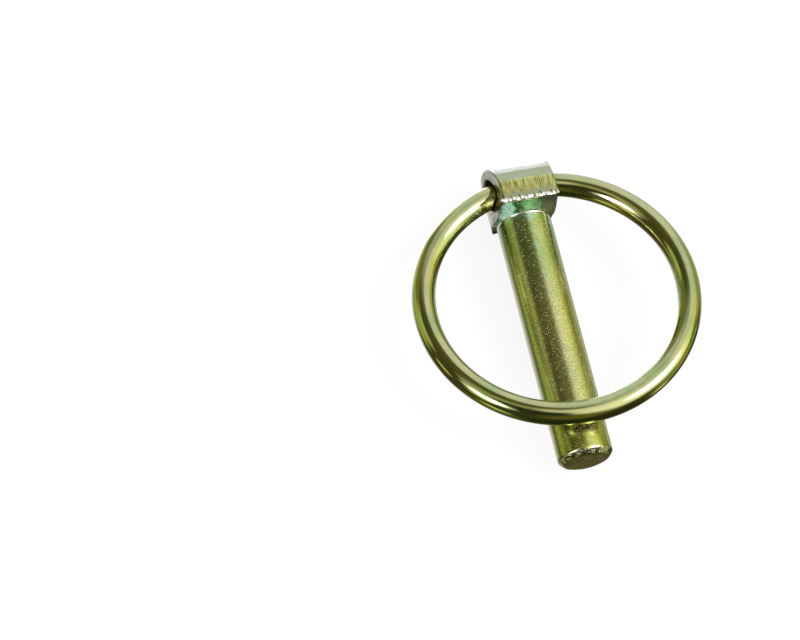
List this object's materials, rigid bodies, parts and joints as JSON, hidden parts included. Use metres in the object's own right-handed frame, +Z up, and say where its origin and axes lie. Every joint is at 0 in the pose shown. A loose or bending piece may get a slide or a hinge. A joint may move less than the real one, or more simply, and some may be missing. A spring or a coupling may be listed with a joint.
{
  "type": "lynch pin",
  "caption": "Lynch pin: a chamfered steel shank with a forged, cross-bored head and a sprung wire ring that swings over its tip.",
  "frame": {"origin": "middle of the object's footprint box, on the surface it lies on", "axes": "+X along the cross bore, +Y from the tip towards the head, +Z up, with the pin on its back and the closed ring uppermost"},
  "size_m": [0.0574, 0.0644, 0.0169],
  "materials": {
    "pin_steel": "yellow zinc plate with a green and pink sheen, satin on the shank",
    "ring_steel": "yellow zinc plate, bright and smooth"
  },
  "bodies": {
    "pin": {"pin": "pin_steel"},
    "ring": {"ring": "ring_steel"}
  },
  "joints": [
    {"name": "ring_swing", "type": "hinge", "parent": "pin", "child": "ring", "pos_m": [-0.00055, 0.02697, 0.00835], "axis": [-1, 0, 0], "range_deg": [0, 340], "stiffness_Nm_per_rad": 0.02, "springref_deg": -57.3}
  ]
}
